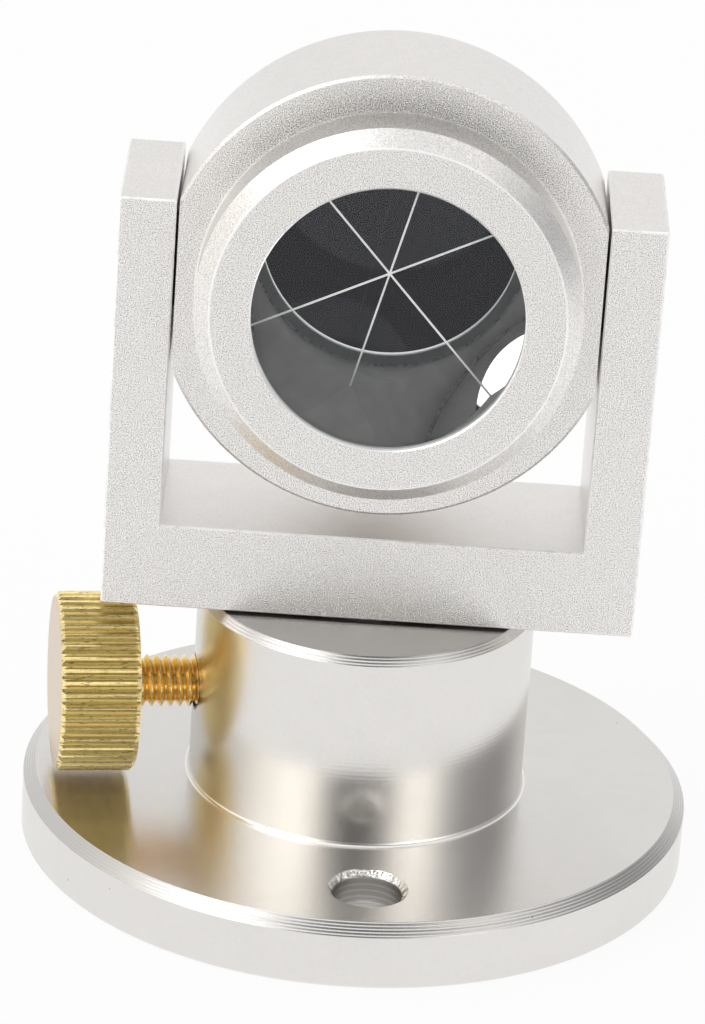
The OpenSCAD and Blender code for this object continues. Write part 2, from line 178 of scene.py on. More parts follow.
def range_node(tree, value, low, high, to_low=0.0, to_high=1.0, smooth=False):
    """A Map Range node's output."""
    node = tree.nodes.new("ShaderNodeMapRange")
    if smooth:
        node.interpolation_type = "SMOOTHSTEP"
    socket_of(tree, value, node.inputs["Value"])
    limits = (("From Min", low), ("From Max", high), ("To Min", to_low), ("To Max", to_high))
    for name, limit in limits:
        socket_of(tree, limit, node.inputs[name])
    return node.outputs[0]


def near_node(tree, value, middle, reach):
    """1 where a value is near the middle, and 0 beyond its reach."""
    away = sum_node(tree, "ABSOLUTE", sum_node(tree, "SUBTRACT", value, middle))
    return range_node(tree, away, reach, reach * 0.6)


def mix_colours(tree, factor, first, second):
    """A Mix node's colour output."""
    node = tree.nodes.new("ShaderNodeMix")
    node.data_type = "RGBA"
    socket_of(tree, factor, node.inputs["Factor"])
    colours = [socket for socket in node.inputs if socket.type == "RGBA"]
    socket_of(tree, first, colours[0])
    socket_of(tree, second, colours[1])
    return next(socket for socket in node.outputs if socket.type == "RGBA")


def noise_node(tree, vector, scale, detail=2.0, roughness=0.5):
    """A Noise Texture's factor."""
    node = tree.nodes.new("ShaderNodeTexNoise")
    node.inputs["Detail"].default_value = detail
    node.inputs["Roughness"].default_value = roughness
    socket_of(tree, vector, node.inputs["Vector"])
    socket_of(tree, scale, node.inputs["Scale"])
    return node.outputs["Fac"]


def bump_node(tree, height, distance, normal=None):
    """A Bump node's normal."""
    node = tree.nodes.new("ShaderNodeBump")
    socket_of(tree, height, node.inputs["Height"])
    socket_of(tree, distance, node.inputs["Distance"])
    if normal is not None:
        tree.links.new(normal, node.inputs["Normal"])
    return node.outputs[0]


def object_place(tree):
    """The point's place in Object coordinates."""
    return tree.nodes.new("ShaderNodeTexCoord").outputs["Object"]


def split_node(tree, vector):
    """A vector's X, Y and Z."""
    node = tree.nodes.new("ShaderNodeSeparateXYZ")
    tree.links.new(vector, node.inputs[0])
    return node.outputs


def solid(value):
    """A colour with full alpha."""
    return (*value, 1.0)


SOCKETS = {"colour": "NodeSocketColor", "value": "NodeSocketFloat", "vector": "NodeSocketVector"}


def new_group(name, inputs, outputs):
    """A node group with named sockets, its tree, its input node and its output node."""
    group = bpy.data.node_groups.new(name, "ShaderNodeTree")
    for label, kind, value in inputs:
        made = group.interface.new_socket(label, in_out="INPUT", socket_type=SOCKETS[kind])
        made.default_value = value
    for label, kind in outputs:
        group.interface.new_socket(label, in_out="OUTPUT", socket_type=SOCKETS[kind])
    given = group.nodes.new("NodeGroupInput").outputs
    return group, given, group.nodes.new("NodeGroupOutput").inputs


def use_group(tree, group, **values):
    """Places a group in a tree with its own values, and gives its outputs."""
    node = tree.nodes.new("ShaderNodeGroup")
    node.node_tree = group
    for name, value in values.items():
        socket_of(tree, value, node.inputs[name])
    return node.outputs


def make_blast_group():
    """Bead-blasted grain, which dents the surface and mottles its colour and its gloss."""
    group, given, out = new_group(
        "blast_grain",
        (("Place", "vector", (0.0, 0.0, 0.0)), ("Color", "colour", (0.7, 0.7, 0.7, 1.0)),
         ("Size", "value", 0.0001), ("Depth", "value", 0.00005), ("Contrast", "value", 0.4)),
        (("Color", "colour"), ("Roughness", "value"), ("Normal", "vector")))
    place = given["Place"]
    scale = sum_node(group, "DIVIDE", 1.0, given["Size"])
    grain = noise_node(group, place, scale, 1.0, 0.6)
    facing = split_node(group, group.nodes.new("ShaderNodeTexCoord").outputs["Normal"])
    # The flat fronts and backs show their grain more than the turned and the side faces
    share = range_node(group, sum_node(group, "ABSOLUTE", facing["Y"]), 0.5, 0.95, 0.2, 1.0)
    depth = sum_node(group, "MULTIPLY", given["Depth"], share)
    contrast = sum_node(group, "MULTIPLY", given["Contrast"], share)
    cloud = noise_node(group, place, sum_node(group, "MULTIPLY", scale, 0.05), 3.0, 0.6)
    low = sum_node(group, "SUBTRACT", 1.0, contrast)
    high = sum_node(group, "ADD", 1.0, contrast)
    tint = range_node(group, grain, 0.3, 0.7, low, high)
    patch = range_node(group, cloud, 0.3, 0.7, *FAINT)
    shade = sum_node(group, "MULTIPLY", tint, patch)
    group.links.new(vector_node(group, "SCALE", given["Color"], shade).outputs[0], out["Color"])
    group.links.new(range_node(group, grain, 0.3, 0.7, 0.36, 0.27), out["Roughness"])
    group.links.new(bump_node(group, grain, depth), out["Normal"])
    return group


def make_axis_group():
    """How far a point lies along an axis, and how far out from it."""
    group, given, out = new_group(
        "round_an_axis",
        (("Origin", "vector", (0.0, 0.0, 0.0)), ("Axis", "vector", (0.0, 0.0, 1.0))),
        (("Along", "value"), ("Radius", "value")))
    place = vector_node(group, "SUBTRACT", object_place(group), given["Origin"]).outputs[0]
    along = vector_node(group, "DOT_PRODUCT", place, given["Axis"]).outputs["Value"]
    on_axis = vector_node(group, "SCALE", given["Axis"], along).outputs[0]
    out_from = vector_node(group, "SUBTRACT", place, on_axis).outputs[0]
    radius = group.nodes.new("ShaderNodeVectorMath")
    radius.operation = "LENGTH"
    group.links.new(out_from, radius.inputs[0])
    group.links.new(along, out["Along"])
    group.links.new(radius.outputs["Value"], out["Radius"])
    return group


def make_turning_group():
    """Fine tool marks of a lathe along one coordinate, with some lines stronger than others."""
    group, given, out = new_group(
        "turning_marks",
        (("Coordinate", "value", 0.0), ("Pitch", "value", 0.0002)),
        (("Height", "value"),))
    turns = sum_node(group, "DIVIDE", given["Coordinate"], given["Pitch"])
    node = group.nodes.new("ShaderNodeTexNoise")
    node.noise_dimensions = "1D"
    node.inputs["Scale"].default_value = 1.0
    node.inputs["Detail"].default_value = 3.0
    node.inputs["Roughness"].default_value = 0.7
    group.links.new(turns, node.inputs["W"])
    wave = sum_node(group, "SINE", sum_node(group, "MULTIPLY", turns, math.tau))
    both = sum_node(group, "MULTIPLY_ADD", wave, 0.4, node.outputs["Fac"])
    group.links.new(both, out["Height"])
    return group


def make_speck_group():
    """Sparse specks of dirt and small pits."""
    group, given, out = new_group(
        "specks",
        (("Spacing", "value", 0.004), ("Size", "value", 0.03)),
        (("Mask", "value"),))
    cells = group.nodes.new("ShaderNodeTexVoronoi")
    cells.inputs["Randomness"].default_value = 1.0
    group.links.new(object_place(group), cells.inputs["Vector"])
    group.links.new(sum_node(group, "DIVIDE", 1.0, given["Spacing"]), cells.inputs["Scale"])
    mask = range_node(group, cells.outputs["Distance"], given["Size"],
                      sum_node(group, "MULTIPLY", given["Size"], 0.4), 0.0, 1.0)
    group.links.new(mask, out["Mask"])
    return group


def make_wear_group():
    """Slow changes of tint and gloss on a plain part."""
    group, given, out = new_group(
        "soft_wear",
        (("Color", "colour", (0.5, 0.5, 0.5, 1.0)), ("Roughness", "value", 0.4),
         ("Size", "value", 0.002), ("Amount", "value", 0.1)),
        (("Color", "colour"), ("Roughness", "value"), ("Height", "value")))
    scale = sum_node(group, "DIVIDE", 1.0, given["Size"])
    noise = noise_node(group, object_place(group), scale, 4.0, 0.6)
    low = sum_node(group, "SUBTRACT", 1.0, given["Amount"])
    high = sum_node(group, "ADD", 1.0, given["Amount"])
    shade = range_node(group, noise, 0.3, 0.7, low, high)
    group.links.new(vector_node(group, "SCALE", given["Color"], shade).outputs[0], out["Color"])
    group.links.new(sum_node(group, "MULTIPLY", given["Roughness"],
                             range_node(group, noise, 0.3, 0.7, high, low)), out["Roughness"])
    group.links.new(noise, out["Height"])
    return group


GROUP_MAKERS = {"blast": make_blast_group, "axis": make_axis_group, "turning": make_turning_group,
                "speck": make_speck_group, "wear": make_wear_group}
GROUPS = {}


def shared_group(name):
    """One of the shared groups, made when it is first asked for."""
    if name not in GROUPS:
        GROUPS[name] = GROUP_MAKERS[name]()
    return GROUPS[name]


def new_material(name):
    """A material, its node tree and its Principled shader."""
    material = bpy.data.materials.new(name)
    material.use_nodes = True
    tree = material.node_tree
    return material, tree, tree.nodes["Principled BSDF"].inputs


def worn_finish(name, tint, roughness, metallic, size=0.002, amount=0.1, depth=0.000004):
    """A plain metal, plastic or rubber with slow changes and a faint skin."""
    material, tree, shader = new_material(name)
    wear = use_group(tree, shared_group("wear"), Color=solid(tint), Roughness=roughness,
                     Size=size, Amount=amount)
    shader["Metallic"].default_value = metallic
    tree.links.new(wear["Color"], shader["Base Color"])
    tree.links.new(wear["Roughness"], shader["Roughness"])
    tree.links.new(bump_node(tree, wear["Height"], depth), shader["Normal"])
    return material


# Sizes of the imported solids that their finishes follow
OPENING_RADIUS, NOSE_FRONT, COVER_BACK = 12.4 * MM, 14.45 * MM, 10.1 * MM
NOSE_RADIUS, NOSE_ROOT, NOSE_EDGE = 17.65 * MM, 7.9 * MM, 1.5 * MM
YOKE_LOW, YOKE_HIGH = (Vector(corner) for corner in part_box("yoke"))
ARM_THICKNESS, BAR_THICKNESS = 5.25 * MM, 8.3 * MM
FLANGE_TOP, BOSS_RADIUS, BOSS_TOP = 6.4 * MM, 16.1 * MM, 25.8 * MM
SCREW_HOLE_RADIUS = 2.6 * MM
BOLT_HOLE_RADIUS, BOLT_HOLE_EDGE = 3.2 * MM, 0.58 * MM
BOLT_HOLES = tuple(
    (24.35 * MM * math.cos(math.radians(turn)), 24.35 * MM * math.sin(math.radians(turn)), 0.0)
    for turn in (-86, 94))

# Scales of noises, per metre
FINE_NOISE, CHATTER_NOISE, CLOUD_NOISE = 5200.0, 1800.0, 260.0
PIT_NOISE, BLOTCH_NOISE, RUB_NOISE = 6500.0, 1500.0, 700.0
# How much a faint mottling darkens and brightens
FAINT = (0.985, 1.015)
# A chamfer's normal points this far up
CHAMFER_RISE = 0.707
# The drill's feed per turn, and depths of the marks that tools leave
DRILL_FEED = 0.62 * MM
CHAMFER_MARKS, FACE_MARKS, FINE_GRAIN = 0.02 * MM, 0.0008 * MM, 0.0018 * MM
EDGE_CHATTER, BRASS_PITS = 0.3 * MM, 0.012 * MM
# How far the yoke's painted edge highlight reaches in from each edge
EDGE_HIGHLIGHT_REACH = 0.24 * MM
WHITE = (1.0, 1.0, 1.0, 1.0)


def blasted_grain(metals, tree, shader, depth):
    """Bead-blasted, clear anodised grain, and its place, which has a depth for Y.

    The grain is finest on faces that lie a whole number of grains deep.
    """
    split = split_node(tree, object_place(tree))
    place = tree.nodes.new("ShaderNodeCombineXYZ")
    for name, value in (("X", split["X"]), ("Y", depth), ("Z", split["Z"])):
        tree.links.new(value, place.inputs[name])
    grain = use_group(tree, shared_group("blast"), Place=place.outputs[0],
                      Color=solid(metals.blasted), Size=metals.grain, Depth=metals.grain_depth,
                      Contrast=0.62)
    shader["Metallic"].default_value = 1.0
    tree.links.new(grain["Normal"], shader["Normal"])
    return grain, place.outputs[0]


def yoke_finish(metals):
    """Blasted aluminium with a painted highlight along its sharp edges, broken up in patches."""
    material, tree, shader = new_material("blasted_yoke_finish")
    place = object_place(tree)
    split = split_node(tree, place)
    across = sum_node(tree, "ABSOLUTE", split["X"])
    deep = sum_node(tree, "ABSOLUTE", split["Y"])
    height = split["Z"]
    grain, _ = blasted_grain(metals, tree, shader, sum_node(tree, "SUBTRACT", deep, YOKE_HIGH.y))
    inner = YOKE_HIGH.x - ARM_THICKNESS
    bar_top = YOKE_LOW.z + BAR_THICKNESS
    above_bar = range_node(tree, height, bar_top - 0.3 * MM, bar_top - 0.2 * MM)
    between_arms = range_node(tree, across, inner + 0.3 * MM, inner + 0.2 * MM)
    sides = sum_node(tree, "MAXIMUM", near_node(tree, across, YOKE_HIGH.x, EDGE_HIGHLIGHT_REACH), sum_node(
        tree, "MULTIPLY", near_node(tree, across, inner, EDGE_HIGHLIGHT_REACH), above_bar))
    top = near_node(tree, height, YOKE_HIGH.z, EDGE_HIGHLIGHT_REACH)
    levels = sum_node(tree, "MAXIMUM", sum_node(
        tree, "MAXIMUM", top, near_node(tree, height, YOKE_LOW.z, EDGE_HIGHLIGHT_REACH)), sum_node(
        tree, "MULTIPLY", near_node(tree, height, bar_top, EDGE_HIGHLIGHT_REACH), between_arms))
    faces = near_node(tree, deep, YOKE_HIGH.y, EDGE_HIGHLIGHT_REACH)
    edges = sum_node(tree, "MAXIMUM",
                     sum_node(tree, "MULTIPLY", faces, sum_node(tree, "MAXIMUM", sides, levels)),
                     sum_node(tree, "MULTIPLY", top, sides))
    # Painted highlight: the sharp edges are painted white in patches
    patches = noise_node(tree, place, RUB_NOISE, 2.0, 0.6)
    painted_light_mask = range_node(tree, patches, 0.35, 0.55, 0.4, 1.0)
    painted_edge_highlight = sum_node(tree, "MULTIPLY", edges, painted_light_mask)
    tree.links.new(mix_colours(tree, painted_edge_highlight, grain["Color"], WHITE), shader["Base Color"])
    dull = sum_node(tree, "MULTIPLY", edges, 0.55)
    tree.links.new(sum_node(tree, "MAXIMUM", grain["Roughness"], dull), shader["Roughness"])
    return material


def housing_finish(metals):
    """Blasted aluminium with painted highlights along its turned edges, and painted shade as
    mottled flecks on the ledge above the nose.
    """
    material, tree, shader = new_material("blasted_housing_finish")
    housing = use_group(tree, shared_group("axis"), Origin=PIVOT, Axis=HOUSING_AXIS)
    radius, along = housing["Radius"], housing["Along"]
    # The grain's depth starts anew behind the pivot, so that both ends have it fine
    ahead = sum_node(tree, "GREATER_THAN", along, 0.0)
    start = range_node(tree, ahead, 0.0, 1.0, -COVER_BACK, NOSE_FRONT)
    grain, place = blasted_grain(metals, tree, shader, sum_node(tree, "SUBTRACT", along, start))
    # Painted highlights: thin lines painted white at the opening's rim, the nose's front edge and
    # the nose's root
    bright = None
    for middle, reach, front, front_reach in (
            (OPENING_RADIUS + 0.05 * MM, 0.08 * MM, NOSE_FRONT, 0.3 * MM),
            (NOSE_RADIUS - NOSE_EDGE, 0.13 * MM, NOSE_FRONT, 0.12 * MM),
            (NOSE_RADIUS, 0.17 * MM, NOSE_ROOT, 0.12 * MM)):
        line = sum_node(tree, "MULTIPLY", near_node(tree, radius, middle, reach),
                        near_node(tree, along, front, front_reach))
        bright = line if bright is None else sum_node(tree, "MAXIMUM", bright, line)
    # Painted shade: on its upper side only, the ledge above the nose is mottled darker with
    # grain-sized flecks
    height = split_node(tree, place)["Z"]
    ledge = range_node(tree, height, PIVOT.z + 8 * MM, PIVOT.z + 15 * MM, smooth=True)
    for value, low, high in (
            (radius, NOSE_RADIUS + 3 * MM, NOSE_RADIUS + 0.8 * MM),
            (radius, NOSE_RADIUS - 0.5 * MM, NOSE_RADIUS - 0.2 * MM),
            (along, NOSE_ROOT - 0.3 * MM, NOSE_ROOT - 0.1 * MM),
            (along, NOSE_FRONT - NOSE_EDGE, NOSE_FRONT - NOSE_EDGE - 0.2 * MM)):
        ledge = sum_node(tree, "MULTIPLY", ledge, range_node(tree, value, low, high))
    flecks = noise_node(tree, place, 1 / metals.grain, 1.0, 0.6)
    painted_shade_flecks = range_node(tree, flecks, 0.42, 0.58, 0.5, 1.16)
    tint = mix_colours(tree, bright, grain["Color"], WHITE)
    painted_shade_tint = vector_node(tree, "SCALE", tint, painted_shade_flecks).outputs[0]
    tree.links.new(mix_colours(tree, ledge, tint, painted_shade_tint), shader["Base Color"])
    tree.links.new(grain["Roughness"], shader["Roughness"])
    return material


def turned_finish(metals):
    """Turned and lightly blasted aluminium, with tool marks on its chamfers and in its holes."""
    material, tree, shader = new_material("turned_aluminium_finish")
    axis = use_group(tree, shared_group("axis"))
    place = object_place(tree)
    across = sum_node(tree, "SUBTRACT", axis["Radius"], axis["Along"])
    marks = use_group(tree, shared_group("turning"), Coordinate=across, Pitch=0.44 * MM)["Height"]
    normal = tree.nodes.new("ShaderNodeNewGeometry").outputs["Normal"]
    steep = sum_node(tree, "SUBTRACT", split_node(tree, normal)["Z"], CHAMFER_RISE)
    chamfer = range_node(tree, sum_node(tree, "ABSOLUTE", steep), 0.2, 0.08)
    fine = noise_node(tree, place, FINE_NOISE, 1.0, 0.5)
    marks_depth = sum_node(tree, "MULTIPLY_ADD", chamfer, CHAMFER_MARKS, FACE_MARKS)
    shaped = bump_node(tree, marks, marks_depth, bump_node(tree, fine, FINE_GRAIN))
    chatter = noise_node(tree, place, CHATTER_NOISE, 1.0, 0.5)
    specks = use_group(tree, shared_group("speck"), Spacing=4.5 * MM, Size=0.03)["Mask"]
    clouds = noise_node(tree, place, CLOUD_NOISE, 4.0, 0.65)
    shade = range_node(tree, fine, 0.3, 0.7, *FAINT)
    # The boss's top under the yoke's washer is painted darker, a painted shade under the yoke, and
    # the foot of the boss is painted as a bright line, a painted highlight
    painted_light_mask = near_node(tree, axis["Along"], BOSS_TOP, 0.1 * MM)
    foot = sum_node(tree, "MULTIPLY",
                    near_node(tree, axis["Radius"], BOSS_RADIUS + 0.15 * MM, 0.25 * MM),
                    near_node(tree, axis["Along"], FLANGE_TOP + 0.15 * MM, 0.25 * MM))
    # Among these factors the chamfers are painted darker, as painted shade
    for mask, low, high, at_low, at_high in (
            (clouds, 0.3, 0.7, *FAINT), (specks, 0.0, 1.0, 1.0, 0.55),
            (chamfer, 0.0, 1.0, 1.0, 0.84), (painted_light_mask, 0.0, 1.0, 1.0, 0.82),
            (foot, 0.0, 1.0, 1.0, 1.25)):
        part = range_node(tree, mask, low, high, at_low, at_high)
        shade = sum_node(tree, "MULTIPLY", shade, part)
    # Drilling leaves rings in the bolt holes, and chatter marks on their edges; painted shade
    # darkens the walls, the rings are painted lighter as light on the drill marks, and a painted
    # highlight brightens the edges
    turns = sum_node(tree, "MULTIPLY", axis["Along"], math.tau / DRILL_FEED)
    rings = sum_node(tree, "SINE", turns)
    ringed = range_node(tree, rings, 0.2, 1.0, 0.62, 0.78)
    for middle in BOLT_HOLES:
        wall = use_group(tree, shared_group("axis"), Origin=middle)["Radius"]
        shade = sum_node(tree, "MULTIPLY", shade, range_node(
            tree, wall, BOLT_HOLE_RADIUS + 0.02 * MM, BOLT_HOLE_RADIUS + 0.1 * MM, ringed, 1.0))
        edge = near_node(tree, wall, BOLT_HOLE_RADIUS + BOLT_HOLE_EDGE / 2, BOLT_HOLE_EDGE / 2)
        shade = sum_node(tree, "MULTIPLY", shade, range_node(tree, edge, 0.0, 1.0, 1.0, 1.2))
        shaped = bump_node(tree, chatter, sum_node(tree, "MULTIPLY", edge, EDGE_CHATTER), shaped)
    # The mouth of the thumbscrew's hole, painted dark as painted shade in the gap round the screw
    screw = use_group(tree, shared_group("axis"), Origin=SCREW_ORIGIN, Axis=SCREW_AXIS)
    near_mouth = range_node(tree, screw["Radius"], SCREW_HOLE_RADIUS + 0.25 * MM,
                            SCREW_HOLE_RADIUS + 0.1 * MM)
    mouth = sum_node(tree, "MULTIPLY", near_mouth, range_node(tree, screw["Along"], 0.0, MM))
    shade = sum_node(tree, "MULTIPLY", shade, range_node(tree, mouth, 0.0, 1.0, 1.0, 0.12))
    tint = vector_node(tree, "SCALE", metals.turned, shade)
    tree.links.new(tint.outputs[0], shader["Base Color"])
    shader["Metallic"].default_value = 1.0
    shader["Anisotropic"].default_value = 0.7
    tree.links.new(range_node(tree, fine, 0.3, 0.7, 0.25, 0.22), shader["Roughness"])
    tree.links.new(shaped, shader["Normal"])
    tangent = tree.nodes.new("ShaderNodeTangent")
    tangent.direction_type = "RADIAL"
    tangent.axis = "Z"
    tree.links.new(tangent.outputs[0], shader["Tangent"])
    return material


def brass_finish(metals, screw):
    """Brass with small pits, whose grooves are painted darker, partly grime and partly painted
    shade, and whose thread roots are painted darker as painted shade.
    """
    material, tree, shader = new_material("brass_finish")
    axis = use_group(tree, shared_group("axis"), Origin=SCREW_ORIGIN, Axis=SCREW_AXIS)
    place = object_place(tree)
    crest_radius = screw.head_diameter / 2
    head_end = screw.head_start + screw.head_length
    on_head = range_node(tree, axis["Along"], screw.head_start - 0.02 * MM,
                         screw.head_start - 0.01 * MM)
    on_face = range_node(tree, axis["Along"], head_end - 0.02 * MM, head_end - 0.01 * MM)
    crest = range_node(tree, axis["Radius"], crest_radius - screw.knurl_depth * 0.6,
                       crest_radius - 0.04 * MM)
    half = screw.head_length / 2
    from_middle = sum_node(tree, "ABSOLUTE", sum_node(
        tree, "SUBTRACT", axis["Along"], screw.head_start + half))
    ends = range_node(tree, from_middle, half - screw.head_edge * 1.05,
                      half - screw.head_edge * 0.75)
    thread = range_node(tree, axis["Radius"], screw.thread_diameter / 2 - screw.thread_depth,
                        screw.thread_diameter / 2)
    # Pits are drawn out along the screw
    shift = sum_node(tree, "MULTIPLY", axis["Along"], 0.8)
    along = vector_node(tree, "SCALE", SCREW_AXIS, shift).outputs[0]
    drawn_out = vector_node(tree, "SUBTRACT", place, along).outputs[0]
    pits = noise_node(tree, drawn_out, PIT_NOISE, 2.0, 0.7)
    blotch = noise_node(tree, place, BLOTCH_NOISE, 3.0, 0.6)
    ridge = sum_node(tree, "MULTIPLY", crest, range_node(tree, blotch, 0.35, 0.55, 0.7, 1.0))
    # Crests and chamfered ends keep the plain brass; grooves get the darker colour of grime and
    # painted shade
    bright_crests_and_ends = sum_node(tree, "MAXIMUM", ridge, ends)
    head_tint = mix_colours(tree, bright_crests_and_ends, solid(metals.brass_groove_grime_and_shade), solid(metals.brass))
    # The turned end gets its own tint, partly painted light
    head_tint = mix_colours(tree, on_face, head_tint, solid(metals.brass_face))
    # The thread's roots are painted darker, as painted shade
    thread_tint = mix_colours(tree, thread, solid(metals.brass_root_shade), solid(metals.brass))
    tint = mix_colours(tree, on_head, thread_tint, head_tint)
    dark = range_node(tree, pits, 0.42, 0.32, 1.0, 0.35)
    tree.links.new(vector_node(tree, "SCALE", tint, dark).outputs[0], shader["Base Color"])
    shader["Metallic"].default_value = 1.0
    tree.links.new(range_node(tree, bright_crests_and_ends, 0.0, 1.0, 0.38, 0.24), shader["Roughness"])
    tree.links.new(bump_node(tree, pits, BRASS_PITS), shader["Normal"])
    return material


def glass_finishes(glass):
    """Clear front, silvered roof, ground skirt and ground edges."""
    clear, _, shader = new_material("clear_glass")
    shader["Base Color"].default_value = WHITE
    shader["Roughness"].default_value = 0.0
    shader["IOR"].default_value = 1.517
    shader["Transmission Weight"].default_value = 1.0
    shader["Specular Tint"].default_value = (0.55, 0.55, 0.58, 1.0)
    silver, _, shader = new_material("silvering")
    shader["Base Color"].default_value = solid(glass.silver)
    shader["Metallic"].default_value = 1.0
    shader["Roughness"].default_value = 0.0
    skirt = worn_finish("ground_skirt", glass.ground, 0.8, 0.0)
    rim = worn_finish("ground_rim", glass.rim, 0.7, 0.0, 0.0004, 0.5)
    edge = worn_finish("ground_edge_painted_glow", glass.edge, 0.7, 0.0)
    # The ground edges are given a painted glow, an emission that stands for the light running about
    # in the glass, most of it near the corner
    tree = edge.node_tree
    shader = tree.nodes["Principled BSDF"].inputs
    radius = use_group(tree, shared_group("axis"), Origin=PIVOT, Axis=HOUSING_AXIS)["Radius"]
    share = range_node(tree, radius, 6.5 * MM, 12.5 * MM, 1.0, 0.4)
    tint = vector_node(tree, "SCALE", shader["Base Color"].links[0].from_socket, share).outputs[0]
    for name in ("Base Color", "Emission Color"):
        tree.links.new(tint, shader[name])
    shader["Emission Strength"].default_value = 0.55
    return clear, silver, skirt, edge, rim


def show(name, mesh, body, slot, *replaced):
    """Puts a finished mesh in the scene as a piece of the object."""
    piece = bpy.data.objects.new(name, mesh)
    bpy.context.scene.collection.objects.link(piece)
    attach(piece, body)
    if replaced:
        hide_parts(*replaced)
    return piece


def only(parts, kind):
    """The parts of one kind, such as edges, among mixed geometry."""
    return [part for part in parts if isinstance(part, kind)]


def edges_within(parts, verts):
    """The edges that run between two of the given vertices."""
    return [edge for edge in only(parts, bmesh.types.BMEdge)
            if edge.verts[0] in verts and edge.verts[1] in verts]


def mesh_of(name, bm, sharp=30.0):
    """A mesh of a bmesh, smooth but for the edges that turn sharply."""
    bmesh.ops.recalc_face_normals(bm, faces=bm.faces)
    for face in bm.faces:
        face.smooth = True
    mesh = bpy.data.meshes.new(name)
    bm.to_mesh(mesh)
    bm.free()
    mesh.set_sharp_from_angle(angle=math.radians(sharp))
    return mesh


def make_stage(context, stage):
    """The floor, the light, the camera and the way colours are shown."""
    make_floor(stage)
    make_world(stage)
    make_key_light(stage)
    make_camera(context, stage)
    context.scene.view_settings.view_transform = "Standard"
    # The corner prism turns light back through many reflections
    context.scene.cycles.glossy_bounces = 12


def make_floor(stage):
    """A wide pale floor under the base."""
    bm = bmesh.new()
    bmesh.ops.create_circle(bm, cap_ends=True, segments=64, radius=4.0)
    mesh = bpy.data.meshes.new("floor")
    bm.to_mesh(mesh)
    bm.free()
    floor = bpy.data.objects.new("floor", mesh)
    bpy.context.scene.collection.objects.link(floor)
    mesh.materials.append(floor_finish(stage))


def floor_finish(stage):
    """A pale floor that the camera, gloss and glass see as nearly white, with its shadow kept."""
    material, tree, shader = new_material("pale_floor")
    shader["Base Color"].default_value = solid(stage.floor_tint)
    shader["Roughness"].default_value = 0.9
    glow = tree.nodes.new("ShaderNodeEmission")
    mix = tree.nodes.new("ShaderNodeMixShader")
    rays = tree.nodes.new("ShaderNodeLightPath").outputs
    seen = sum_node(tree, "MAXIMUM", rays["Is Camera Ray"],
                    sum_node(tree, "MAXIMUM", rays["Is Glossy Ray"], rays["Is Transmission Ray"]))
    tree.links.new(sum_node(tree, "MULTIPLY", seen, stage.floor_glow), mix.inputs["Fac"])
    tree.links.new(tree.nodes["Principled BSDF"].outputs[0], mix.inputs[1])
    tree.links.new(glow.outputs[0], mix.inputs[2])
    tree.links.new(mix.outputs[0], tree.nodes["Material Output"].inputs["Surface"])
    return material


# The studio seen from the object: degrees round from the camera's side, and how bright it is there
STUDIO_ROUND = (
    (-180, (0.88, 0.88, 0.88)), (-125, (0.84, 0.84, 0.84)), (-105, (0.78, 0.765, 0.74)),
    (-80, (0.98, 0.955, 0.91)), (-60, (1.42, 1.385, 1.31)), (-40, (1.95, 1.91, 1.82)),
    (-28, (1.9, 1.86, 1.77)), (-21, (0.8, 0.79, 0.77)), (-12, (0.19, 0.19, 0.195)),
    (4, (0.14, 0.14, 0.145)), (12, (0.14, 0.14, 0.145)),
    (22, (0.32, 0.32, 0.32)), (32, (1.75, 1.71, 1.64)), (44, (2.0, 1.95, 1.87)),
    (54, (1.65, 1.62, 1.55)), (64, (0.7, 0.7, 0.7)), (78, (0.41, 0.41, 0.42)),
    (106, (0.3, 0.3, 0.31)), (124, (0.4, 0.4, 0.41)), (138, (0.73, 0.73, 0.73)),
    (155, (0.88, 0.88, 0.88)), (180, (0.88, 0.88, 0.88)))
STUDIO_PEAK = 2.0
STUDIO_CORE = (0.016, 0.016, 0.018, 1.0)
STUDIO_ABOVE, STUDIO_ABOVE_CAMERA = (1.15, 1.15, 1.15, 1.0), (0.09, 0.10, 0.12, 1.0)


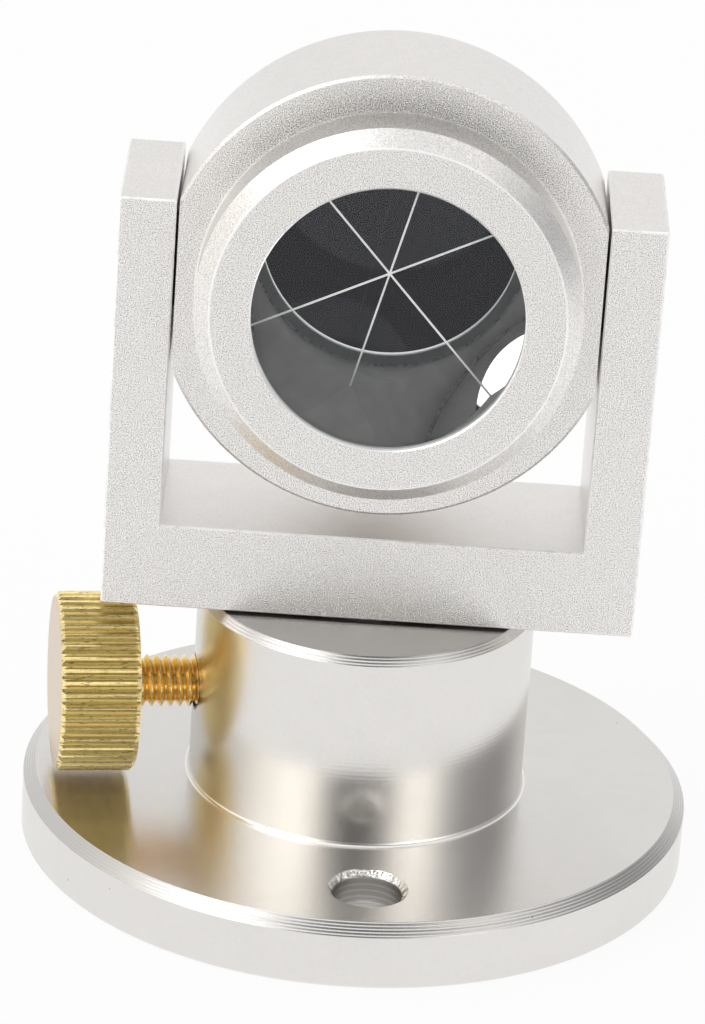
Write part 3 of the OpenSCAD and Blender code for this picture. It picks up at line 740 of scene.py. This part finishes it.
def make_world(stage):
    """White all round, with a dark room behind the camera, pale walls beside it and light above."""
    world = bpy.data.worlds.new("studio")
    bpy.context.scene.world = world
    world.use_nodes = True
    tree = world.node_tree
    tree.nodes.clear()
    out = tree.nodes.new("ShaderNodeOutputWorld")
    light = tree.nodes.new("ShaderNodeBackground")
    tree.links.new(light.outputs[0], out.inputs[0])
    direction = tree.nodes.new("ShaderNodeTexCoord").outputs["Generated"]
    split = split_node(tree, direction)
    away = sum_node(tree, "MULTIPLY", split["Y"], -1.0)
    turn = sum_node(tree, "ARCTAN2", split["X"], away)
    ramp = tree.nodes.new("ShaderNodeValToRGB")
    tree.links.new(range_node(tree, turn, -math.pi, math.pi), ramp.inputs["Fac"])
    stops = ramp.color_ramp.elements
    for k, (degrees, tint) in enumerate(STUDIO_ROUND):
        place = (degrees + 180) / 360
        stop = stops[k] if k < len(stops) else stops.new(place)
        stop.position = place
        stop.color = solid([part / STUDIO_PEAK for part in tint])
    walls = vector_node(tree, "SCALE", ramp.outputs["Color"], STUDIO_PEAK).outputs[0]
    # The camera stands dark before the room
    towards = vector_node(tree, "DOT_PRODUCT", direction, camera_back(stage)).outputs["Value"]
    core = range_node(tree, towards, math.cos(math.radians(13)), math.cos(math.radians(7)),
                      smooth=True)
    walls = mix_colours(tree, core, walls, STUDIO_CORE)
    # Above, a broad light that is dimmer over the camera
    front = range_node(tree, away, 0.29, 0.42, smooth=True)
    above = mix_colours(tree, front, STUDIO_ABOVE, STUDIO_ABOVE_CAMERA)
    high = range_node(tree, split["Z"], 0.60, 0.80, smooth=True)
    studio = mix_colours(tree, high, walls, above)
    rays = tree.nodes.new("ShaderNodeLightPath").outputs
    seen = mix_colours(tree, rays["Is Camera Ray"], studio, WHITE)
    tree.links.new(seen, light.inputs["Color"])


def make_key_light(stage):
    """One large softbox at the upper left."""
    lamp = bpy.data.lights.new("softbox", "AREA")
    lamp.shape = "RECTANGLE"
    lamp.size, lamp.size_y = 0.9, 0.9
    lamp.energy = stage.key_power
    softbox = bpy.data.objects.new("softbox", lamp)
    bpy.context.scene.collection.objects.link(softbox)
    softbox.location = (-0.85, -0.6, 1.25)
    softbox.rotation_mode = "QUATERNION"
    softbox.rotation_quaternion = softbox.location.to_track_quat("Z", "Y")


def camera_back(stage):
    """The direction from the object to the camera."""
    a, e = stage.azimuth, stage.elevation
    return Vector((math.sin(a) * math.cos(e), -math.cos(a) * math.cos(e), math.sin(e)))


def make_camera(context, stage):
    """The photograph's camera."""
    back = camera_back(stage)
    level = Vector((math.cos(stage.azimuth), math.sin(stage.azimuth), 0))
    upright = back.cross(level)
    right = level * math.cos(stage.roll) + upright * math.sin(stage.roll)
    up = back.cross(right)
    target = Vector((0, 0, stage.target_height)) + level * stage.target_shift
    place = target + back * stage.distance
    data = bpy.data.cameras.new("camera")
    data.lens = stage.lens
    data.sensor_width = 36.0
    data.clip_start, data.clip_end = 0.01, 50.0
    camera = bpy.data.objects.new("camera", data)
    context.scene.collection.objects.link(camera)
    turned = Matrix((right, up, back)).transposed().to_4x4()
    camera.matrix_world = Matrix.Translation(place) @ turned
    context.scene.camera = camera


def finish_frame(metals):
    """Gives every piece of the frame its finish."""
    housing = housing_finish(metals)
    steel = worn_finish("steel_finish", metals.steel, 0.32, 1.0)
    spring = worn_finish("spring_steel_finish", (0.22, 0.22, 0.24), 0.35, 1.0)
    black_steel = worn_finish("black_steel_finish", (0.045, 0.045, 0.05), 0.42, 1.0)
    black = worn_finish("black_anodised_finish", (0.02, 0.02, 0.021), 0.5, 1.0)
    bronze = worn_finish("bronze_finish", metals.bronze, 0.45, 1.0, 0.0005, 0.2)
    seal = worn_finish("seal_finish", (0.42, 0.46, 0.46), 0.7, 0.0)
    nylon = worn_finish("nylon_finish", (0.03, 0.03, 0.03), 0.5, 0.0)
    rubber = worn_finish("rubber_finish", (0.018, 0.018, 0.018), 0.75, 0.0)
    finishes = {
        "yoke": yoke_finish(metals), "prism_housing": housing, "rear_cover": housing,
        "mounting_base": turned_finish(metals), "thumbscrew": steel, "spigot": steel,
        "retaining_washer": steel, "retaining_screw": steel, "spring_washer": spring,
        "pivot_screw_left": black_steel, "pivot_screw_right": black_steel,
        "pivot_bush_left": bronze, "pivot_bush_right": bronze, "glass_retainer": black,
        "clamp_pad": nylon, "swivel_washer": nylon, "friction_washer_left": nylon,
        "friction_washer_right": nylon, "front_seal": seal, "glass_cushion": rubber,
        "rear_cover_seal": rubber, "corner_prism": rubber}
    for name, node in frame["nodes"].items():
        node.data.materials.clear()
        node.data.materials.append(finishes[name])


def housing_matrix():
    """Local +Z runs forwards along the housing's axis from the pivot, and local +Y up."""
    tilt = Matrix.Rotation(-REST_TILT, 4, "X")
    return Matrix.Translation(PIVOT) @ tilt @ Matrix.Rotation(math.radians(90), 4, "X")


def edges_between(bm, first, second):
    """The edges where faces of two materials meet."""
    return [edge for edge in bm.edges if len(edge.link_faces) == 2
            and sorted(face.material_index for face in edge.link_faces) == sorted((first, second))]


CLEAR, SILVER, SKIRT, EDGE, RIM = range(5)


def make_glass(glass):
    """The corner prism, cut from a round bar by three faces that meet at right angles."""
    bm = bmesh.new()
    bmesh.ops.create_cone(bm, cap_ends=True, segments=192, radius1=glass.diameter / 2,
                          radius2=glass.diameter / 2, depth=glass.height)
    bmesh.ops.translate(bm, verts=bm.verts, vec=(0, 0, glass.front - glass.height / 2))
    for face in bm.faces:
        face.material_index = SKIRT if abs(face.normal.z) < 0.5 else CLEAR
    lean = math.atan(math.sqrt(2))
    for third in range(3):
        # Each roof face lies opposite an edge
        a = glass.turn + math.pi + third * math.tau / 3
        normal = Vector((math.cos(a) * math.sin(lean), math.sin(a) * math.sin(lean),
                         -math.cos(lean)))
        cut = bmesh.ops.bisect_plane(
            bm, geom=bm.verts[:] + bm.edges[:] + bm.faces[:], dist=1e-7,
            plane_co=(0, 0, glass.front - glass.height), plane_no=normal, clear_outer=True)
        rim = only(cut["geom_cut"], bmesh.types.BMEdge)
        for face in bmesh.ops.contextual_create(bm, geom=rim)["faces"]:
            face.material_index = SILVER
    for first, second, width, kind in ((SILVER, SILVER, glass.roof_edge / 2, EDGE),
                                       (CLEAR, SKIRT, glass.rim_edge, RIM)):
        ground = bmesh.ops.bevel(bm, geom=edges_between(bm, first, second), offset=width,
                                 affect="EDGES", segments=1, profile=0.5, material=-1)
        for face in ground["faces"]:
            face.material_index = kind
    bmesh.ops.transform(bm, matrix=housing_matrix(), verts=bm.verts)
    mesh = mesh_of("corner_glass", bm, 5.0)
    for material in glass_finishes(glass):
        mesh.materials.append(material)
    show("corner_glass", mesh, "prism", "prism_glass", "corner_prism")


def screw_matrix():
    """Local +Z runs outwards along the thumbscrew's axis from the swivel axis."""
    turned = SCREW_AXIS.to_track_quat("Z", "Y").to_matrix().to_4x4()
    return Matrix.Translation(SCREW_ORIGIN) @ turned


# Around one tooth of the knurl: the share of its depth that each point lies below the crest
TOOTH = (0.0, 0.24, 0.82, 1.0, 1.0, 0.82, 0.24)


def make_screw(screw, metals):
    """The thumbscrew: a knurled head with chamfered ends on a threaded shank."""
    bm = bmesh.new()
    make_head(bm, screw)
    make_thread(bm, screw)
    bmesh.ops.transform(bm, matrix=screw_matrix(), verts=bm.verts)
    mesh = mesh_of("knurled_screw", bm, 25.0)
    mesh.materials.append(brass_finish(metals, screw))
    show("knurled_screw", mesh, "thumbscrew", "brass", "thumbscrew")


def make_head(bm, screw):
    """A round blank whose chamfered ends cut the teeth to a zigzag."""
    crest = screw.head_diameter / 2
    low = crest - screw.head_edge
    count = screw.teeth * len(TOOTH)
    ring = bmesh.ops.create_circle(bm, cap_ends=True, segments=count, radius=low)["verts"]
    bmesh.ops.translate(bm, verts=ring, vec=(0, 0, screw.head_start))
    edges = list({edge for vert in ring for edge in vert.link_edges
                  if edge.other_vert(vert) in ring})
    for rise in (0.0, 1.0):
        edges, ring = push_ring(bm, edges, screw, low, rise)
    made = bmesh.ops.extrude_edge_only(bm, edges=edges)["geom"]
    top = only(made, bmesh.types.BMVert)
    for vert in top:
        flat = Vector((vert.co.x, vert.co.y, 0)).normalized() * low
        vert.co = (flat.x, flat.y, screw.head_start + screw.head_length)
    bmesh.ops.contextual_create(bm, geom=edges_within(made, top))


def push_ring(bm, edges, screw, low, rise):
    """Extrudes a ring to the teeth's outline, where the chamfer at that end meets them."""
    made = bmesh.ops.extrude_edge_only(bm, edges=edges)["geom"]
    verts = only(made, bmesh.types.BMVert)
    count = screw.teeth * len(TOOTH)
    crest = screw.head_diameter / 2
    for vert in verts:
        around = round(math.atan2(vert.co.y, vert.co.x) / math.tau * count)
        radius = crest - TOOTH[around % len(TOOTH)] * screw.knurl_depth
        flat = Vector((vert.co.x, vert.co.y, 0)).normalized() * radius
        inset = radius - low
        z = screw.head_length - inset if rise else inset
        vert.co = (flat.x, flat.y, screw.head_start + z)
    return edges_within(made, verts), verts


def make_thread(bm, screw):
    """A helical thread, spun from one line of crests and roots and trimmed at both ends."""
    pitch, crest = screw.thread_pitch, screw.thread_diameter / 2
    root = crest - screw.thread_depth
    thread = bmesh.new()
    turns = math.ceil((screw.head_start - screw.tip) / pitch) + 3
    start = screw.tip - 2 * pitch - screw.thread_phase
    line = []
    for k in range(turns):
        z = start + k * pitch
        for share, radius in ((0.0, crest), (0.12, crest), (0.46, root), (0.66, root)):
            line.append(thread.verts.new((radius, 0, z + share * pitch)))
    rows = [thread.edges.new(pair) for pair in zip(line, line[1:])]
    steps = 72
    bmesh.ops.spin(thread, geom=line + rows, cent=(0, 0, 0), axis=(0, 0, 1),
                   dvec=(0, 0, pitch / steps), angle=math.tau, steps=steps)
    bmesh.ops.remove_doubles(thread, verts=thread.verts, dist=1e-6)
    for z, side in ((screw.tip, -1), (screw.head_start + 0.05 * MM, 1)):
        cut = bmesh.ops.bisect_plane(
            thread, geom=thread.verts[:] + thread.edges[:] + thread.faces[:], dist=1e-8,
            plane_co=(0, 0, z), plane_no=(0, 0, side), clear_outer=True)
        bmesh.ops.contextual_create(thread, geom=only(cut["geom_cut"], bmesh.types.BMEdge))
    shank = bpy.data.meshes.new("thread")
    thread.to_mesh(shank)
    thread.free()
    bm.from_mesh(shank)
    bpy.data.meshes.remove(shank)


class PRISM_OT_stage(bpy.types.Operator):
    """Make the floor, the soft light and the camera"""
    bl_idname = "prism.stage"
    bl_label = "Stage"

    def execute(self, context):
        make_stage(context, context.scene.prism_stage)
        return {"FINISHED"}


class PRISM_OT_metal(bpy.types.Operator):
    """Give every piece of the frame its finish"""
    bl_idname = "prism.metal"
    bl_label = "Finish the frame"

    def execute(self, context):
        finish_frame(context.scene.prism_metal)
        return {"FINISHED"}


class PRISM_OT_glass(bpy.types.Operator):
    """Cut the corner prism with ground roof edges and silvered back faces"""
    bl_idname = "prism.glass"
    bl_label = "Corner prism"

    def execute(self, context):
        make_glass(context.scene.prism_glass)
        return {"FINISHED"}


class PRISM_OT_screw(bpy.types.Operator):
    """Turn the thumbscrew with its knurled head and its thread"""
    bl_idname = "prism.screw"
    bl_label = "Thumbscrew"

    def execute(self, context):
        make_screw(context.scene.prism_screw, context.scene.prism_metal)
        return {"FINISHED"}


SETTINGS = {"prism_stage": StageSettings, "prism_metal": MetalSettings,
            "prism_glass": GlassSettings, "prism_screw": ScrewSettings}
OPERATORS = (PRISM_OT_stage, PRISM_OT_metal, PRISM_OT_glass, PRISM_OT_screw)


class PRISM_PT_panel(bpy.types.Panel):
    """The pieces and their settings"""
    bl_idname = "PRISM_PT_panel"
    bl_label = "Surveying prism"
    bl_space_type = "VIEW_3D"
    bl_region_type = "UI"
    bl_category = "Prism"

    def draw(self, context):
        for operator, name in zip(OPERATORS, SETTINGS):
            settings = getattr(context.scene, name)
            column = self.layout.column()
            for key in settings.bl_rna.properties.keys():
                if key not in {"rna_type", "name"}:
                    column.prop(settings, key)
            column.operator(operator.bl_idname)


CLASSES = (*SETTINGS.values(), *OPERATORS, PRISM_PT_panel)


def register():
    for cls in CLASSES:
        bpy.utils.register_class(cls)
    for name, group in SETTINGS.items():
        setattr(bpy.types.Scene, name, bpy.props.PointerProperty(type=group))


def unregister():
    for name in SETTINGS:
        delattr(bpy.types.Scene, name)
    for cls in reversed(CLASSES):
        bpy.utils.unregister_class(cls)


def main():
    register()
    bpy.ops.prism.stage()
    bpy.ops.prism.metal()
    bpy.ops.prism.glass()
    bpy.ops.prism.screw()


if __name__ == "__main__":
    main()
